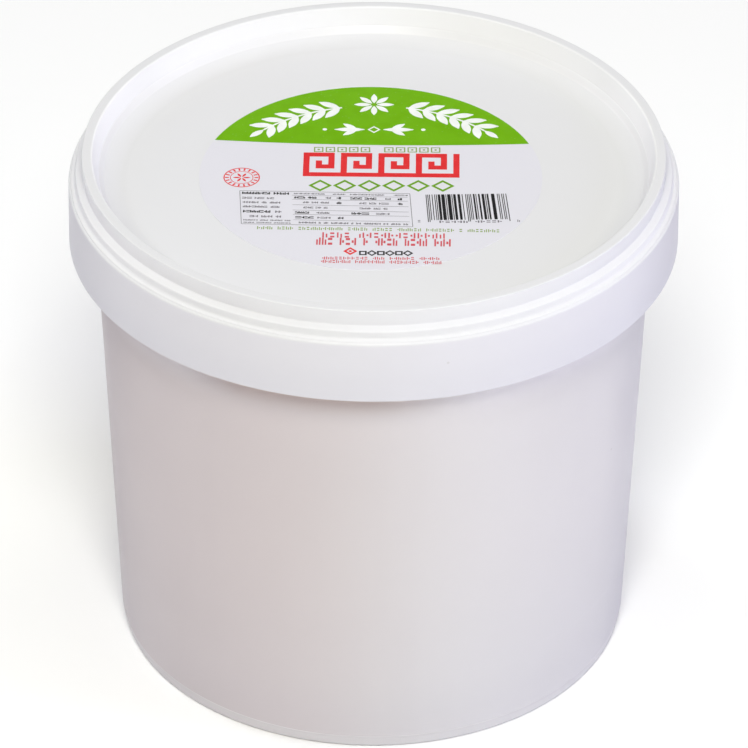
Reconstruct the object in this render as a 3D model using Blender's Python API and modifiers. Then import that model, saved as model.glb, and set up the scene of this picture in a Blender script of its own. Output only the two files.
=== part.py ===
"""A round plastic tub of brined cheese with its lid pressed on and a round paper label.

Metres, +Z up. The origin is the middle of the foot, on the surface the tub stands on.
The tub is shut, so what it holds is modelled as one solid with its wall.
"""
import math

import bpy

MM = 0.001

# Sides of every turned piece. A multiple of four puts a corner on each axis.
SIDES = 72

# Tub: a drafted wall on a flat foot ring, with a collar that the lid's skirt hides
FOOT_RADIUS = 91.6 * MM
WALL_RADIUS_AT_SKIRT = 98.1 * MM
HEEL_HEIGHT = 5.0 * MM
HEEL_STEP = 0.35 * MM
HEEL_TAPER = 0.5 * MM
HEEL_ROUND = 1.5 * MM
FOOT_RING_WIDTH = 8.0 * MM
FOOT_RECESS_DEPTH = 2.0 * MM
FOOT_RECESS_TAPER = 1.6 * MM
COLLAR_RISE_INSIDE_SKIRT = 5.0 * MM

# Lid: recessed panel, raised stacking ring, two narrow ledges and a deep skirt
TOTAL_HEIGHT = 193.3 * MM
LID_WALL = 1.3 * MM
RECESS_DEPTH = 11.0 * MM
RING_INNER_RADIUS = 98.7 * MM
RING_OUTER_RADIUS = 102.5 * MM
RING_FOOT_RADIUS = 102.1 * MM
LEDGE_DROP = 7.0 * MM
LEDGE_OUTER_RADIUS = 104.5 * MM
SHOULDER_DROP = 10.3 * MM
SHOULDER_INNER_RADIUS = 104.9 * MM
LEDGE_SLOPE_RISE = 0.3 * MM
SKIRT_TOP_RADIUS = 107.2 * MM
SKIRT_RADIUS = 107.5 * MM
SKIRT_DEPTH = 22.8 * MM

# The recess wall ends in a crease and a narrow lip, and a dished edge leads to the panel
CREASE_RADIUS = 96.1 * MM
CREASE_RISE = 4.1 * MM
LIP_RADIUS = 94.9 * MM
LIP_RISE = 2.4 * MM
DISH_CORNER_RADIUS = 91.5 * MM
DISH_ROUND = 11.5 * MM

# Label: a thin round sticker, put on by hand a little left of the middle of the panel
LABEL_RADIUS = 60.3 * MM
LABEL_THICKNESS = 0.2 * MM
LABEL_CENTRE_X = -1.1 * MM

# Pieces that touch on the real tub keep this much air between them
CLEARANCE = 0.3 * MM

PANEL_HEIGHT = TOTAL_HEIGHT - RECESS_DEPTH
LEDGE_HEIGHT = TOTAL_HEIGHT - LEDGE_DROP
SHOULDER_HEIGHT = TOTAL_HEIGHT - SHOULDER_DROP
SKIRT_BOTTOM = SHOULDER_HEIGHT - SKIRT_DEPTH


def clear_scene():
    for thing in list(bpy.data.objects):
        bpy.data.objects.remove(thing, do_unlink=True)


def plastic_or_paper(name, colour, roughness):
    material = bpy.data.materials.new(name)
    material.use_nodes = True
    shader = material.node_tree.nodes["Principled BSDF"]
    shader.inputs["Base Color"].default_value = (*colour, 1.0)
    shader.inputs["Roughness"].default_value = roughness
    shader.inputs["Metallic"].default_value = 0.0
    return material


def unit(dx, dz):
    length = math.hypot(dx, dz)
    return dx / length, dz / length


def round_corner(before, corner, after, radius, segments):
    """Points of the arc that replaces one corner of an outline."""
    ax, az = unit(before[0] - corner[0], before[1] - corner[1])
    bx, bz = unit(after[0] - corner[0], after[1] - corner[1])
    half_angle = math.acos(max(-1.0, min(1.0, ax * bx + az * bz))) / 2
    reach = radius / math.tan(half_angle)
    mx, mz = unit(ax + bx, az + bz)
    centre_x = corner[0] + mx * radius / math.sin(half_angle)
    centre_z = corner[1] + mz * radius / math.sin(half_angle)
    start = math.atan2(corner[1] + az * reach - centre_z, corner[0] + ax * reach - centre_x)
    end = math.atan2(corner[1] + bz * reach - centre_z, corner[0] + bx * reach - centre_x)
    sweep = (end - start + math.pi) % (2 * math.pi) - math.pi
    arc = []
    for step in range(segments + 1):
        angle = start + sweep * step / segments
        arc.append((centre_x + radius * math.cos(angle), centre_z + radius * math.sin(angle)))
    return arc


def rounded_outline(corners):
    """Corners are (radius from the axis, height, rounding radius, segments of the rounding)."""
    outline = []
    for index, (r, z, rounding, segments) in enumerate(corners):
        if rounding == 0:
            outline.append((r, z))
            continue
        before = corners[index - 1][:2]
        after = corners[index + 1][:2]
        outline += round_corner(before, (r, z), after, rounding, segments)
    return outline


def turned(name, outline, material, collection):
    """Turn an outline about the Z axis. It runs from the axis at the top, down the outside."""
    mesh = bpy.data.meshes.new(name)
    vertices = [(r, 0.0, z) for r, z in outline]
    edges = [(index, index + 1) for index in range(len(outline) - 1)]
    mesh.from_pydata(vertices, edges, [])
    piece = bpy.data.objects.new(name, mesh)
    collection.objects.link(piece)
    piece.data.materials.append(material)
    screw = piece.modifiers.new("Turn", "SCREW")
    screw.axis = "Z"
    screw.angle = 2 * math.pi
    screw.steps = SIDES
    screw.render_steps = SIDES
    screw.use_merge_vertices = True
    screw.merge_threshold = 0.00001
    screw.use_smooth_shade = True
    return piece


def lid_top_corners():
    """The lid's upper face, from the middle of the panel out and down to the skirt's edge."""
    return [
        (0.0, PANEL_HEIGHT, 0, 0),
        (DISH_CORNER_RADIUS, PANEL_HEIGHT, DISH_ROUND, 5),
        (LIP_RADIUS, PANEL_HEIGHT + LIP_RISE, 0, 0),
        (CREASE_RADIUS, PANEL_HEIGHT + CREASE_RISE, 0, 0),
        (RING_INNER_RADIUS, TOTAL_HEIGHT, 0.7 * MM, 3),
        (RING_OUTER_RADIUS, TOTAL_HEIGHT, 0.6 * MM, 4),
        (RING_FOOT_RADIUS, LEDGE_HEIGHT + LEDGE_SLOPE_RISE, 0.9 * MM, 3),
        (LEDGE_OUTER_RADIUS, LEDGE_HEIGHT, 0.5 * MM, 3),
        (SHOULDER_INNER_RADIUS, SHOULDER_HEIGHT + LEDGE_SLOPE_RISE, 0.5 * MM, 2),
        (SKIRT_TOP_RADIUS, SHOULDER_HEIGHT, 0.9 * MM, 4),
        (SKIRT_RADIUS, SKIRT_BOTTOM, 0, 0),
    ]


def make_lid(material, collection):
    """The ring is solid down to the panel's underside, as the tub's rim sits in it unseen."""
    underside = PANEL_HEIGHT - LID_WALL
    outline = rounded_outline(lid_top_corners()) + [
        (SKIRT_RADIUS - LID_WALL, SKIRT_BOTTOM),
        (SKIRT_TOP_RADIUS - LID_WALL, underside),
        (0.0, underside),
    ]
    return turned("lid", outline, material, collection)


def make_tub(material, collection):
    """The tub fills the lid's skirt down to the underside of a collar. Below it is the wall."""
    top = PANEL_HEIGHT - LID_WALL - CLEARANCE
    top_radius = SKIRT_TOP_RADIUS - LID_WALL - CLEARANCE
    collar_height = SKIRT_BOTTOM + COLLAR_RISE_INSIDE_SKIRT
    draft = (WALL_RADIUS_AT_SKIRT - FOOT_RADIUS) / SKIRT_BOTTOM
    wall_top_radius = FOOT_RADIUS + draft * collar_height
    wall_foot_radius = FOOT_RADIUS + draft * HEEL_HEIGHT
    heel_radius = wall_foot_radius - HEEL_STEP
    heel_foot_radius = heel_radius - HEEL_TAPER
    recess_radius = FOOT_RADIUS - FOOT_RING_WIDTH
    outline = rounded_outline([
        (0.0, top, 0, 0),
        (top_radius, top, 0, 0),
        (top_radius, collar_height, 0.8 * MM, 2),
        (wall_top_radius, collar_height, 1.2 * MM, 3),
        (wall_foot_radius, HEEL_HEIGHT, 0, 0),
        (heel_radius, HEEL_HEIGHT - HEEL_STEP, 0, 0),
        (heel_foot_radius, 0.0, HEEL_ROUND, 5),
        (recess_radius, 0.0, 0, 0),
        (recess_radius - FOOT_RECESS_TAPER, FOOT_RECESS_DEPTH, 0, 0),
        (0.0, FOOT_RECESS_DEPTH, 0, 0),
    ])
    return turned("tub", outline, material, collection)


def make_label(material, collection):
    bottom = PANEL_HEIGHT + CLEARANCE
    top = bottom + LABEL_THICKNESS
    outline = [(0.0, top), (LABEL_RADIUS, top), (LABEL_RADIUS, bottom), (0.0, bottom)]
    label = turned("label", outline, material, collection)
    label.location.x = LABEL_CENTRE_X
    return label


def main():
    clear_scene()
    collection = bpy.data.collections.new("closed_cheese_tub")
    bpy.context.scene.collection.children.link(collection)
    tub_plastic = plastic_or_paper("tub_plastic", (0.66, 0.63, 0.63), 0.42)
    lid_plastic = plastic_or_paper("lid_plastic", (0.78, 0.78, 0.80), 0.38)
    label_paper = plastic_or_paper("label_paper", (0.77, 0.76, 0.82), 0.55)
    make_tub(tub_plastic, collection)
    make_lid(lid_plastic, collection)
    make_label(label_paper, collection)


main()
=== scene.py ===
# %% [markdown]
# # A closed tub of feta cheese
#
# This notebook dresses a round plastic tub with its lid pressed on and a paper label.
# The CAD model gives the size and the place of the tub, the lid and the label.
# Here each of them is modelled again with softer edges and real finishes, and the print is added.
# Everything is in metres, +Z is up, and the tub stands on the floor at the origin.

# %% Load the CAD frame
import math
import random

import bmesh
import bpy
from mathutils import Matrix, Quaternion, Vector


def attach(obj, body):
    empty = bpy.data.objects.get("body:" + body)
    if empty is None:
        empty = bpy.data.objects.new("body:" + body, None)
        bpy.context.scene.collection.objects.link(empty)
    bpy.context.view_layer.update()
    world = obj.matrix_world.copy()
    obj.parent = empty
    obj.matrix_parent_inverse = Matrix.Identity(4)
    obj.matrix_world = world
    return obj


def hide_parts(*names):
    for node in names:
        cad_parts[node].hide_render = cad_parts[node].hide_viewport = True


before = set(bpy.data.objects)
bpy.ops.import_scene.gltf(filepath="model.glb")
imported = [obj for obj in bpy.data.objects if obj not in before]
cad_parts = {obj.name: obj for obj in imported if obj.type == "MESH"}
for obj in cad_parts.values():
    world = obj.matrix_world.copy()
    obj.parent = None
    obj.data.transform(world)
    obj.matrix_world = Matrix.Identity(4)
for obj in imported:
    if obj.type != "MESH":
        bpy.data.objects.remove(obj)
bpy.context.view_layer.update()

MM = 0.001
TURN = 2 * math.pi

# %% [markdown]
# ## Small helpers for edit mode
#
# An operator acts on all that is selected, so each step first clears the selection.
# Vertices, edges and faces are then found by where they lie. Every ring of a turned piece has one
# radius and one height, and that pair is enough to pick the ring out again.

# %% Clear the selection and pick by place
SAME_PLACE = 0.01 * MM


def clear_selection():
    if bpy.context.mode != "OBJECT":
        bpy.ops.object.mode_set(mode="OBJECT")
    bpy.ops.object.select_all(action="DESELECT")


def select_only(piece):
    clear_selection()
    piece.select_set(True)
    bpy.context.view_layer.objects.active = piece


def into_edit_mode(piece, select="EDGE"):
    select_only(piece)
    bpy.ops.object.mode_set(mode="EDIT")
    bpy.ops.mesh.select_mode(type=select)
    bpy.ops.mesh.select_all(action="DESELECT")


def back_to_object_mode():
    bpy.ops.object.mode_set(mode="OBJECT")


def apply_transform():
    """Take the selected piece's place, turn and size up into its mesh."""
    bpy.ops.object.transform_apply(location=True, rotation=True, scale=True)


def select_whole_mesh():
    bpy.ops.mesh.select_all(action="SELECT")


def pick(piece, kind, passes):
    """Select the verts, edges or faces that pass a test and nothing else, and count them."""
    bpy.ops.mesh.select_all(action="DESELECT")
    mesh = bmesh.from_edit_mesh(piece.data)
    elements = {"verts": mesh.verts, "edges": mesh.edges, "faces": mesh.faces}[kind]
    passed = [element for element in elements if passes(element)]
    for element in passed:
        element.select_set(True)
    bmesh.update_edit_mesh(piece.data)
    return len(passed)


def pick_ring(piece, radius, height):
    def on_ring(vertex):
        off_radius = math.hypot(vertex.co.x, vertex.co.y) - radius
        return abs(off_radius) < SAME_PLACE and abs(vertex.co.z - height) < SAME_PLACE
    return pick(piece, "edges", lambda edge: all(on_ring(vertex) for vertex in edge.verts))


print("helpers ready")

# %% [markdown]
# ## Growing a round piece ring by ring
#
# A moulded tub and lid are turned shapes. They could be one outline swept by a Screw modifier.
# Here they grow as they would by hand: a disc is added, its rim is extruded and scaled from
# ring to ring, and the last ring is merged into a pole. The corners stay sharp while the piece
# grows. Each is bevelled afterwards, because a real mould leaves every edge a little round.

# %% Grow a turned piece and round its corners
SIDES = 256
FLAT_FACE_WEIGHT = 80


def smooth_with_flat_faces_kept(piece, angle):
    """Smooth shading that leaves the wide faces flat and the true creases crisp."""
    select_only(piece)
    bpy.ops.object.shade_smooth_by_angle(angle=math.radians(angle))
    bpy.ops.object.modifier_add(type="WEIGHTED_NORMAL")
    weighted = piece.modifiers[-1]
    weighted.keep_sharp = True
    weighted.weight = FLAT_FACE_WEIGHT
    bpy.ops.object.modifier_apply(modifier=weighted.name)


def turned_piece(name, profile, crease_angle):
    """Rows are (radius, height), and for a rounded corner also the rounding's (width, segments).

    The first row is the rim of a filled disc. After the last one the piece closes at the axis.
    """
    clear_selection()
    radius, height = profile[0][:2]
    bpy.ops.mesh.primitive_circle_add(
        vertices=SIDES, radius=radius, location=(0, 0, height), fill_type="TRIFAN")
    piece = bpy.context.object
    piece.name = name
    piece.data.name = name
    apply_transform()
    into_edit_mode(piece)
    pick_ring(piece, radius, height)
    for next_radius, next_height, *_ in profile[1:]:
        bpy.ops.mesh.extrude_region_move(
            TRANSFORM_OT_translate={"value": (0, 0, next_height - height)})
        scale = next_radius / radius
        bpy.ops.transform.resize(value=(scale, scale, 1), center_override=(0, 0, next_height))
        radius, height = next_radius, next_height
    bpy.ops.mesh.extrude_region_move(TRANSFORM_OT_translate={"value": (0, 0, 0)})
    bpy.ops.mesh.merge(type="CENTER")
    select_whole_mesh()
    bpy.ops.mesh.normals_make_consistent(inside=False)
    for radius, height, width, segments in [row for row in profile if len(row) == 4]:
        found = pick_ring(piece, radius, height)
        assert found == SIDES, (name, radius, height, found)
        bpy.ops.mesh.bevel(offset=width, segments=segments, profile=0.5, affect="EDGES")
    back_to_object_mode()
    smooth_with_flat_faces_kept(piece, crease_angle)
    return piece


print("a turned piece has", SIDES, "sides")

# %% [markdown]
# ## The tub
#
# The tub is drafted: its wall leans out a little so that it slides off the mould. At the foot
# the wall steps in over a crease, and the floor inside the foot ring is raised, so the tub stands
# on a ring and doesn't rock. The top is closed where the lid hides it, as a shut tub is one solid.

# %% Model the tub
TUB_TOP_Z = 180.7 * MM
TUB_TOP_RADIUS = 105.6 * MM
COLLAR_Z = 165.2 * MM
COLLAR_WALL_RADIUS = 98.3 * MM
WALL_FOOT_RADIUS = 91.8 * MM
HEEL_Z = 5.0 * MM
HEEL_STEP = 0.35 * MM
HEEL_RADIUS = WALL_FOOT_RADIUS - HEEL_STEP
HEEL_FOOT_RADIUS = 90.95 * MM
FOOT_RECESS_RADIUS = 83.6 * MM
FOOT_RECESS_FLOOR_RADIUS = 82.0 * MM
FOOT_RECESS_Z = 2.0 * MM
TUB_CREASE_ANGLE = 50

tub = turned_piece("Tub", [
    (TUB_TOP_RADIUS, TUB_TOP_Z),
    (TUB_TOP_RADIUS, COLLAR_Z, 0.8 * MM, 4),
    (COLLAR_WALL_RADIUS, COLLAR_Z, 1.2 * MM, 5),
    (WALL_FOOT_RADIUS, HEEL_Z, 0.12 * MM, 3),
    (HEEL_RADIUS, HEEL_Z - HEEL_STEP),
    (HEEL_FOOT_RADIUS, 0.0, 1.35 * MM, 8),
    (FOOT_RECESS_RADIUS, 0.0, 0.5 * MM, 4),
    (FOOT_RECESS_FLOOR_RADIUS, FOOT_RECESS_Z, 0.5 * MM, 4),
], TUB_CREASE_ANGLE)
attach(tub, "root")
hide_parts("tub")
print("tub:", len(tub.data.polygons), "faces")

# %% [markdown]
# ## The lid
#
# From the middle out: a flat panel, a soft dish that rises to a narrow lip, a fine crease, the
# steep inner wall of the stacking ring, the ring's flat top and its outer wall. Two narrow sloping
# ledges follow, one step below the other, the lower one with a fine groove in it, and then the
# deep skirt that grips the tub.
# The corners get different roundings: the dish is wide and soft, the ring's edges are tight.

# %% Model the lid
PANEL_Z = 182.3 * MM
SHOULDER_Z = 183.0 * MM
LEDGE_Z = 186.3 * MM
TOP_Z = 193.3 * MM
LEDGE_RISE = 1.0 * MM
SHOULDER_RISE = 0.8 * MM
DISH_RADIUS = 91.5 * MM
LIP_RADIUS = 94.85 * MM
LIP_Z = PANEL_Z + 2.0 * MM
CREASE_RADIUS = 96.6 * MM
CREASE_Z = PANEL_Z + 4.4 * MM
RING_INNER_RADIUS = 98.7 * MM
RING_OUTER_RADIUS = 102.5 * MM
RING_FOOT_RADIUS = 102.1 * MM
LEDGE_RADIUS = 104.7 * MM
SHOULDER_RADIUS = 104.95 * MM
GROOVE_INNER_RADIUS = 106.3 * MM
GROOVE_RADIUS = 106.55 * MM
GROOVE_OUTER_RADIUS = 106.7 * MM
GROOVE_DEPTH = 0.38 * MM
BEAD_RADIUS = 107.1 * MM
BEAD_DROP = 0.35 * MM
SKIRT_TOP_RADIUS = 107.25 * MM
SKIRT_TOP_DROP = 1.2 * MM
SKIRT_RADIUS = 107.5 * MM
SKIRT_BOTTOM_Z = 159.8 * MM
LID_WALL = 1.3 * MM
LID_CREASE_ANGLE = 60


def shoulder_height(radius):
    """Height of the shoulder's slope, which falls from its foot to the top of the skirt."""
    share = (radius - SHOULDER_RADIUS) / (SKIRT_TOP_RADIUS - SHOULDER_RADIUS)
    return SHOULDER_Z + SHOULDER_RISE * (1 - share)


lid = turned_piece("Lid", [
    (DISH_RADIUS, PANEL_Z, 3.7 * MM, 12),
    (LIP_RADIUS, LIP_Z, 0.35 * MM, 4),
    (CREASE_RADIUS, CREASE_Z, 0.15 * MM, 2),
    (RING_INNER_RADIUS, TOP_Z, 0.6 * MM, 5),
    (RING_OUTER_RADIUS, TOP_Z, 0.55 * MM, 6),
    (RING_FOOT_RADIUS, LEDGE_Z + LEDGE_RISE, 0.35 * MM, 4),
    (LEDGE_RADIUS, LEDGE_Z, 0.35 * MM, 5),
    (SHOULDER_RADIUS, SHOULDER_Z + SHOULDER_RISE, 0.6 * MM, 5),
    (GROOVE_INNER_RADIUS, shoulder_height(GROOVE_INNER_RADIUS), 0.1 * MM, 2),
    (GROOVE_RADIUS, shoulder_height(GROOVE_RADIUS) - GROOVE_DEPTH),
    (GROOVE_OUTER_RADIUS, shoulder_height(GROOVE_OUTER_RADIUS) - BEAD_DROP / 2),
    (BEAD_RADIUS, SHOULDER_Z - BEAD_DROP, 0.33 * MM, 5),
    (SKIRT_TOP_RADIUS, SHOULDER_Z - SKIRT_TOP_DROP, 0.35 * MM, 4),
    (SKIRT_RADIUS, SKIRT_BOTTOM_Z, 0.3 * MM, 4),
    (SKIRT_RADIUS - LID_WALL, SKIRT_BOTTOM_Z, 0.3 * MM, 4),
    (SKIRT_TOP_RADIUS - LID_WALL, PANEL_Z - LID_WALL),
], LID_CREASE_ANGLE)
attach(lid, "root")
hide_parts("lid")
print("lid:", len(lid.data.polygons), "faces")

# %% [markdown]
# ## The paper label
#
# A round sticker lies on the panel, put on by hand a little left of the middle.
# It is a disc whose rim is extruded down by the thickness of the paper, with a tiny bevel so that
# the cut edge catches a thin line of light.

# %% Model the label
LABEL_RADIUS = 60.3 * MM
LABEL_CENTRE_X = -1.1 * MM
PAPER_TOP_Z = PANEL_Z + 0.22 * MM
PAPER_BOTTOM_Z = PANEL_Z + 0.02 * MM
LABEL_CREASE_ANGLE = 30


def move_into_mesh(piece, x, y):
    select_only(piece)
    piece.location = (x, y, 0)
    apply_transform()


label = turned_piece("Label", [
    (LABEL_RADIUS, PAPER_TOP_Z, 0.06 * MM, 2),
    (LABEL_RADIUS, PAPER_BOTTOM_Z),
], LABEL_CREASE_ANGLE)
move_into_mesh(label, LABEL_CENTRE_X, 0)
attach(label, "root")
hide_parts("label")
print("label:", len(label.data.polygons), "faces")

# %% [markdown]
# ## Print on the label
#
# The print is thin ink on the paper. It could be an image, but then it would blur up close.
# Every shape is a flat piece that lies just on the paper, so its edge stays crisp from any side.
# One stamp of each kind is modelled, and then copied to each place. The stamps of one ink are
# joined at the end, so each ink is one piece with one finish.

# %% Stamps: make, copy and join
INK_THICKNESS = 0.02 * MM
FIRST_INK_Z = PAPER_TOP_Z + 0.02 * MM
SECOND_INK_Z = FIRST_INK_Z + 0.03 * MM
OVERLAP_LIFT = 0.008 * MM

stamped = {}


def thicken(piece):
    """Extrude a flat stamp upward, so that it is a closed thin slab."""
    into_edit_mode(piece, "FACE")
    select_whole_mesh()
    bpy.ops.mesh.extrude_region_move(TRANSFORM_OT_translate={"value": (0, 0, INK_THICKNESS)})
    select_whole_mesh()
    bpy.ops.mesh.normals_make_consistent(inside=False)
    back_to_object_mode()


def put_stamp(stamp, ink, x, y, width, height, turn=0.0, z=FIRST_INK_Z):
    """Copy a stamp of unit size to a place in millimetres, and note which ink it is."""
    copy = stamp.copy()
    copy.data = stamp.data.copy()
    bpy.context.scene.collection.objects.link(copy)
    copy.location = (x * MM, y * MM, z)
    copy.scale = (width * MM, height * MM, 1)
    copy.rotation_euler = (0, 0, math.radians(turn))
    stamped.setdefault(ink, []).append(copy)
    return copy


def join_ink(ink):
    """Join all stamps of one ink into a piece that is named after it."""
    piece = stamped[ink][0]
    select_only(piece)
    for copy in stamped[ink]:
        copy.select_set(True)
    if len(stamped[ink]) > 1:
        bpy.ops.object.join()
    apply_transform()
    piece.name = ink.capitalize() + "_print"
    piece.data.name = piece.name
    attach(piece, "root")
    return piece


print("inks lie", round((FIRST_INK_Z - PAPER_TOP_Z) / MM, 3), "mm above the paper")

# %% [markdown]
# ### The stamps themselves
#
# A bar is a plane with its corners bevelled. A leaf is a circle that is drawn in more and more
# towards its two ends. A dot is a small disc, and a ring is a disc that is inset and loses its
# middle. A lozenge is a circle of four sides, opened in the same way. A frame is a wider opened
# one that is set on its side, and a thick one is opened less, for the bolder print.

# %% Bar, leaf, dot, ring, lozenge and frames
BAR_CORNER = 0.07
LEAF_SIDES = 28

# Steps of the leaf as (distance from its middle, what is left of its width from there on)
LEAF_DRAWN_IN = ((0.16, 0.93), (0.28, 0.86), (0.38, 0.72), (0.46, 0.45))


def bar_stamp():
    clear_selection()
    bpy.ops.mesh.primitive_plane_add(size=1)
    stamp = bpy.context.object
    into_edit_mode(stamp, "VERT")
    select_whole_mesh()
    bpy.ops.mesh.bevel(offset=BAR_CORNER, segments=2, affect="VERTICES")
    thicken(stamp)
    return stamp


def leaf_stamp():
    clear_selection()
    bpy.ops.mesh.primitive_circle_add(vertices=LEAF_SIDES, radius=0.5, fill_type="NGON")
    stamp = bpy.context.object
    into_edit_mode(stamp, "VERT")
    for from_middle, narrower in LEAF_DRAWN_IN:
        pick(stamp, "verts", lambda vertex: abs(vertex.co.x) > from_middle)
        bpy.ops.transform.resize(value=(1, narrower, 1), center_override=(0, 0, 0))
    thicken(stamp)
    return stamp


def disc_stamp(sides, hole=0.0):
    """A disc, or with a hole a ring. Four sides give a lozenge."""
    clear_selection()
    bpy.ops.mesh.primitive_circle_add(vertices=sides, radius=0.5, fill_type="NGON")
    stamp = bpy.context.object
    if hole:
        into_edit_mode(stamp, "FACE")
        select_whole_mesh()
        side_distance = 0.5 * math.cos(math.pi / sides)
        bpy.ops.mesh.inset(thickness=side_distance * (1 - hole), depth=0)
        bpy.ops.mesh.delete(type="FACE")
    thicken(stamp)
    return stamp


bar = bar_stamp()
leaf = leaf_stamp()
dot = disc_stamp(20)
ring = disc_stamp(64, 0.94)
lozenge = disc_stamp(4, 0.66)
thin_frame = disc_stamp(4, 0.74)
thick_frame = disc_stamp(4, 0.56)
stamps = [bar, leaf, dot, ring, lozenge, thin_frame, thick_frame]
print("stamps:", [len(stamp.data.polygons) for stamp in stamps], "faces each")

# %% [markdown]
# ### The green field
#
# The top of the label is a green field. It follows the label's rim, and its lower edge sags a
# little. The field starts as a disc of the label's size. The disc is cut with a bisect across the
# chord, and the vertices along the cut are then lowered into a gentle curve.

# %% Model the green field
FIELD_RADIUS = LABEL_RADIUS - 0.15 * MM
CHORD_LEFT = Vector((-56.4 * MM, 23.65 * MM, 0))
CHORD_RIGHT = Vector((54.9 * MM, 21.9 * MM, 0))
CHORD_SAG = 2.1 * MM
CHORD_STEPS = 48
ON_CHORD = 0.05 * MM


def green_field_piece():
    clear_selection()
    bpy.ops.mesh.primitive_circle_add(
        vertices=SIDES, radius=FIELD_RADIUS, location=(LABEL_CENTRE_X, 0, FIRST_INK_Z),
        fill_type="NGON")
    field = bpy.context.object
    apply_transform()
    into_edit_mode(field, "FACE")
    select_whole_mesh()
    across = CHORD_RIGHT - CHORD_LEFT
    normal = Vector((-across.y, across.x, 0)).normalized()
    bpy.ops.mesh.bisect(
        plane_co=(CHORD_LEFT.x, CHORD_LEFT.y, FIRST_INK_Z), plane_no=normal,
        clear_inner=True, clear_outer=False)
    bpy.ops.mesh.select_mode(type="EDGE")
    pick(field, "edges", lambda edge: edge.calc_length() > 0.5 * across.length)
    bpy.ops.mesh.subdivide(number_cuts=CHORD_STEPS - 1)
    middle = (CHORD_LEFT + CHORD_RIGHT) / 2
    mesh = bmesh.from_edit_mesh(field.data)
    for vertex in mesh.verts:
        from_chord = (vertex.co - CHORD_LEFT).dot(normal)
        along = (vertex.co - middle).dot(across.normalized()) / (across.length / 2)
        if abs(from_chord) < ON_CHORD:
            vertex.co -= normal * CHORD_SAG * max(0.0, 1 - along * along)
    bmesh.update_edit_mesh(field.data)
    thicken(field)
    return field


green_field = green_field_piece()
stamped["green"] = [green_field]
print("green field:", len(green_field.data.polygons), "faces")

# %% [markdown]
# ### White branches on the green field
#
# Two branches arch over the field with a rosette between their tips, and a small sprig lies under
# them. Each stem is a short edge that is spun about the middle of its arch, which gives a flat
# band. The leaves are stamps set in pairs along it. Stamps that overlap get a hair of height
# between them, because two faces in exactly the same plane would flicker.

# %% Stem, leaves, rosette and sprig
ARCH_CENTRE_Y = -8.0
ARCH_RADIUS = 55.0
ARCH_START_ANGLE = 12.0
ARCH_END_ANGLE = 45.5
STEM_WIDTH = 0.8
STEM_STEPS = 24
LEAF_LENGTH = 8.6
LEAF_WIDTH = 3.1
LEAF_LEAN = 40.0
LEAF_PAIRS = 6
FIRST_PAIR_AT = 0.15
TIP_LEAF = 0.8
ROSETTE_Y = 48.0
ROSETTE_PETALS = 8
PETAL_FROM_MIDDLE = 1.0
PETAL_LENGTH = 6.2
PETAL_WIDTH = 2.2
SPRIG_Y = 31.0
SPRIG_DOT_X = 17.5
SPRIG_DOT = 1.6
SPRIG_LOZENGE = 4.6

# Leaves on each side of the sprig as (distance from the middle, angle from up, length, width)
SPRIG_LEAVES = ((3.2, 90, 11.0, 2.6), (6.0, 52, 6.4, 2.2), (6.0, 128, 6.4, 2.2))


def on_circle(x, y, radius, angle):
    """A place on a circle round x, y. The angle is in radians from the X axis."""
    return x + radius * math.cos(angle), y + radius * math.sin(angle)


def arched_stem(start_angle, end_angle):
    """Spin an edge about the arch's middle. Angles are in degrees from straight up."""
    clear_selection()
    bpy.ops.mesh.primitive_plane_add(size=1)
    stem = bpy.context.object
    stem.scale = (0.01 * MM, STEM_WIDTH * MM, 1)
    stem.location = (0, ARCH_RADIUS * MM, SECOND_INK_Z)
    apply_transform()
    stem.rotation_euler.z = math.radians(-start_angle)
    bpy.ops.object.transform_apply(location=False, rotation=True, scale=False)
    into_edit_mode(stem, "EDGE")
    select_whole_mesh()
    bpy.ops.mesh.delete(type="ONLY_FACE")
    mesh = bmesh.from_edit_mesh(stem.data)
    long_edges = [edge for edge in mesh.edges if edge.calc_length() > 0.5 * STEM_WIDTH * MM]
    pick(stem, "edges", lambda edge: edge is not long_edges[0])
    bpy.ops.mesh.delete(type="EDGE")
    select_whole_mesh()
    bpy.ops.mesh.spin(
        steps=STEM_STEPS, angle=math.radians(end_angle - start_angle),
        center=(0, 0, SECOND_INK_Z), axis=(0, 0, 1), dupli=False)
    select_whole_mesh()
    bpy.ops.mesh.remove_doubles(threshold=0.001 * MM)
    thicken(stem)
    move_into_mesh(stem, 0, ARCH_CENTRE_Y * MM)
    return stem


def leaf_at(x, y, turn, length, width, layer):
    """A leaf that starts at x, y and points along turn, in degrees from the X axis."""
    middle_x, middle_y = on_circle(x, y, 0.5 * length, math.radians(turn))
    put_stamp(leaf, "white", middle_x, middle_y, length, width, turn,
              SECOND_INK_Z + layer * OVERLAP_LIFT)


def arch_place(angle):
    """A place on the arch and the direction that runs along it there. Degrees from straight up."""
    x = ARCH_RADIUS * math.sin(math.radians(angle))
    y = ARCH_CENTRE_Y + ARCH_RADIUS * math.cos(math.radians(angle))
    return x, y, -angle + (180 if angle < 0 else 0)


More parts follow.
